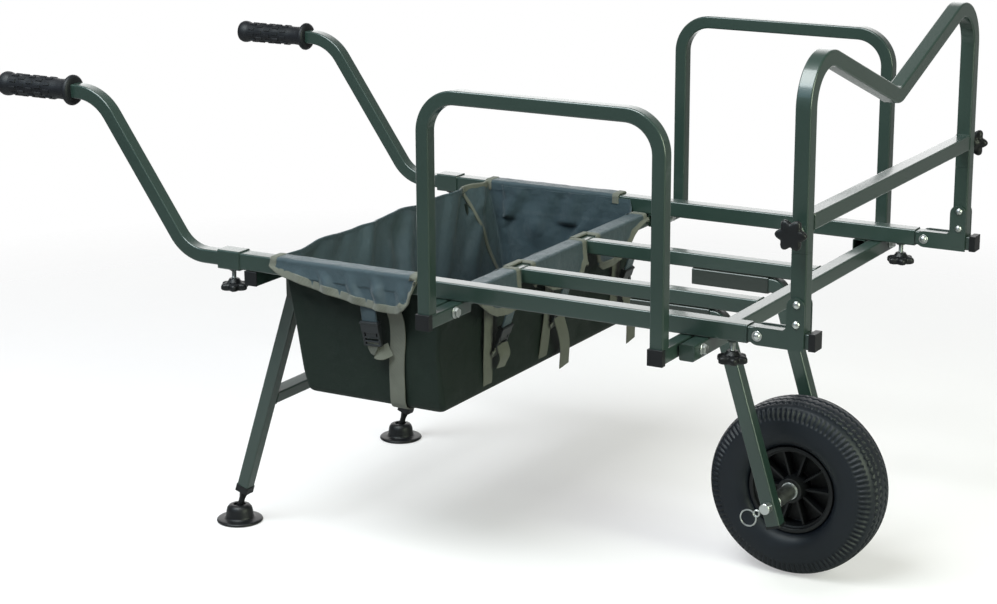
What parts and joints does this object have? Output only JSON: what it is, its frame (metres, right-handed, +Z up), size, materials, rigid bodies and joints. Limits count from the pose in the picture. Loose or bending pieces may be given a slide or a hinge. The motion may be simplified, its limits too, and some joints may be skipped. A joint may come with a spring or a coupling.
{
  "type": "fishing trolley",
  "caption": "Folding square-tube fishing barrow with a pneumatic wheel, sliding handles, bolted side loops, a raised V-shaped front loop and a cloth bag slung under its bed.",
  "frame": {"origin": "on the ground, at the middle of the part's length and width", "axes": "+X forward, towards the wheel; +Y to the far side; +Z up"},
  "size_m": [1.3574, 0.8226, 0.8128],
  "materials": {
    "powder_coat": "satin dark green-grey powder coat",
    "bracket_coat": "satin dark powder coat on folded plate",
    "zinc": "bright zinc plate",
    "black_plastic": "matt moulded black",
    "tyre_rubber": "dull black with tread",
    "bag_cloth": "woven dark green-grey cloth with pale webbing trim"
  },
  "bodies": {
    "frame": {"front_cross_member": "powder_coat", "middle_cross_member": "powder_coat", "rear_cross_member": "powder_coat", "bag": "bag_cloth", "near_rail": "powder_coat", "near_inner_bar": "powder_coat", "near_side_loop": "powder_coat", "near_rear_member_cap": "black_plastic", "near_loop_rear_cap": "black_plastic", "near_loop_front_cap": "black_plastic", "near_loop_rear_bolt": "zinc", "near_loop_front_bolt": "zinc", "near_fork_holder": "bracket_coat", "near_leg_pivot": "zinc", "far_rail": "powder_coat", "far_inner_bar": "powder_coat", "far_side_loop": "powder_coat", "far_rear_member_cap": "black_plastic", "far_loop_rear_cap": "black_plastic", "far_loop_front_cap": "black_plastic", "far_loop_rear_bolt": "zinc", "far_loop_front_bolt": "zinc", "far_fork_holder": "bracket_coat", "far_leg_pivot": "zinc"},
    "near_handle_body": {"near_handle": "powder_coat", "near_grip": "black_plastic"},
    "near_handle_knob_body": {"near_handle_knob": "black_plastic"},
    "near_arm_knob_body": {"near_arm_knob": "black_plastic"},
    "near_loop_knob_body": {"near_loop_knob": "black_plastic"},
    "near_foot_body": {"near_foot": "black_plastic"},
    "far_handle_body": {"far_handle": "powder_coat", "far_grip": "black_plastic"},
    "far_handle_knob_body": {"far_handle_knob": "black_plastic"},
    "far_arm_knob_body": {"far_arm_knob": "black_plastic"},
    "far_loop_knob_body": {"far_loop_knob": "black_plastic"},
    "far_foot_body": {"far_foot": "black_plastic"},
    "front_carriage": {"near_front_arm": "powder_coat", "far_front_arm": "powder_coat", "near_front_arm_cap": "black_plastic", "far_front_arm_cap": "black_plastic", "near_fold_pivot": "zinc", "far_fold_pivot": "zinc"},
    "front_uprights": {"near_upright": "powder_coat", "far_upright": "powder_coat", "near_fold_bracket": "bracket_coat", "far_fold_bracket": "bracket_coat"},
    "front_loop_body": {"front_loop": "powder_coat"},
    "fork": {"near_fork_leg": "powder_coat", "far_fork_leg": "powder_coat", "near_fork_cap": "black_plastic", "far_fork_cap": "black_plastic", "axle": "zinc", "near_spacer": "zinc", "far_spacer": "zinc"},
    "wheel": {"tyre": "tyre_rubber", "rim": "black_plastic"},
    "clip": {"axle_clip": "zinc"},
    "rear_legs": {"near_leg": "powder_coat", "far_leg": "powder_coat", "leg_bar": "powder_coat"}
  },
  "joints": [
    {"name": "near_handle_slide", "type": "slide", "parent": "frame", "child": "near_handle_body", "axis": [-1, 0, 0], "range_m": [0, 0.15]},
    {"name": "near_handle_knob_turn", "type": "hinge", "parent": "frame", "child": "near_handle_knob_body", "pos_m": [-0.24656, -0.31, 0.41], "axis": [0, 0, 1], "range_deg": [-360, 0]},
    {"name": "near_arm_knob_turn", "type": "hinge", "parent": "frame", "child": "near_arm_knob_body", "pos_m": [0.55844, -0.31, 0.41], "axis": [0, 0, 1], "range_deg": [-360, 0]},
    {"name": "near_loop_knob_turn", "type": "hinge", "parent": "front_loop_body", "child": "near_loop_knob_body", "pos_m": [0.65244, -0.31, 0.59], "axis": [0, 1, 0], "range_deg": [-360, 0]},
    {"name": "near_foot_tilt", "type": "hinge", "parent": "rear_legs", "child": "near_foot_body", "pos_m": [-0.30753, -0.235, 0.02], "axis": [0, 1, 0], "range_deg": [-12, 12]},
    {"name": "far_handle_slide", "type": "slide", "parent": "frame", "child": "far_handle_body", "axis": [-1, 0, 0], "range_m": [0, 0.15]},
    {"name": "far_handle_knob_turn", "type": "hinge", "parent": "frame", "child": "far_handle_knob_body", "pos_m": [-0.24656, 0.31, 0.41], "axis": [0, 0, 1], "range_deg": [-360, 0]},
    {"name": "far_arm_knob_turn", "type": "hinge", "parent": "frame", "child": "far_arm_knob_body", "pos_m": [0.55844, 0.31, 0.41], "axis": [0, 0, 1], "range_deg": [-360, 0]},
    {"name": "far_loop_knob_turn", "type": "hinge", "parent": "front_loop_body", "child": "far_loop_knob_body", "pos_m": [0.65244, 0.31, 0.59], "axis": [0, -1, 0], "range_deg": [-360, 0]},
    {"name": "far_foot_tilt", "type": "hinge", "parent": "rear_legs", "child": "far_foot_body", "pos_m": [-0.30753, 0.235, 0.02], "axis": [0, 1, 0], "range_deg": [-12, 12]},
    {"name": "front_carriage_slide", "type": "slide", "parent": "frame", "child": "front_carriage", "axis": [1, 0, 0], "range_m": [0, 0.12]},
    {"name": "front_fold", "type": "hinge", "parent": "front_carriage", "child": "front_uprights", "pos_m": [0.59844, 0, 0.4445], "axis": [0, 1, 0], "range_deg": [-90, 0]},
    {"name": "front_loop_slide", "type": "slide", "parent": "front_uprights", "child": "front_loop_body", "axis": [0, 0, 1], "range_m": [0, 0.09]},
    {"name": "fork_slide", "type": "slide", "parent": "frame", "child": "fork", "axis": [1, 0, 0], "range_m": [0, 0.06]},
    {"name": "wheel_spin", "type": "hinge", "parent": "fork", "child": "wheel", "pos_m": [0.52984, 0, 0.131], "axis": [0, 1, 0], "continuous": true},
    {"name": "clip_pull", "type": "slide", "parent": "fork", "child": "clip", "axis": [-0.8192, 0, -0.5736], "range_m": [0, 0.026]},
    {"name": "rear_legs_fold", "type": "hinge", "parent": "frame", "child": "rear_legs", "pos_m": [-0.17656, 0, 0.4207], "axis": [0, 1, 0], "range_deg": [-20, 0]}
  ]
}
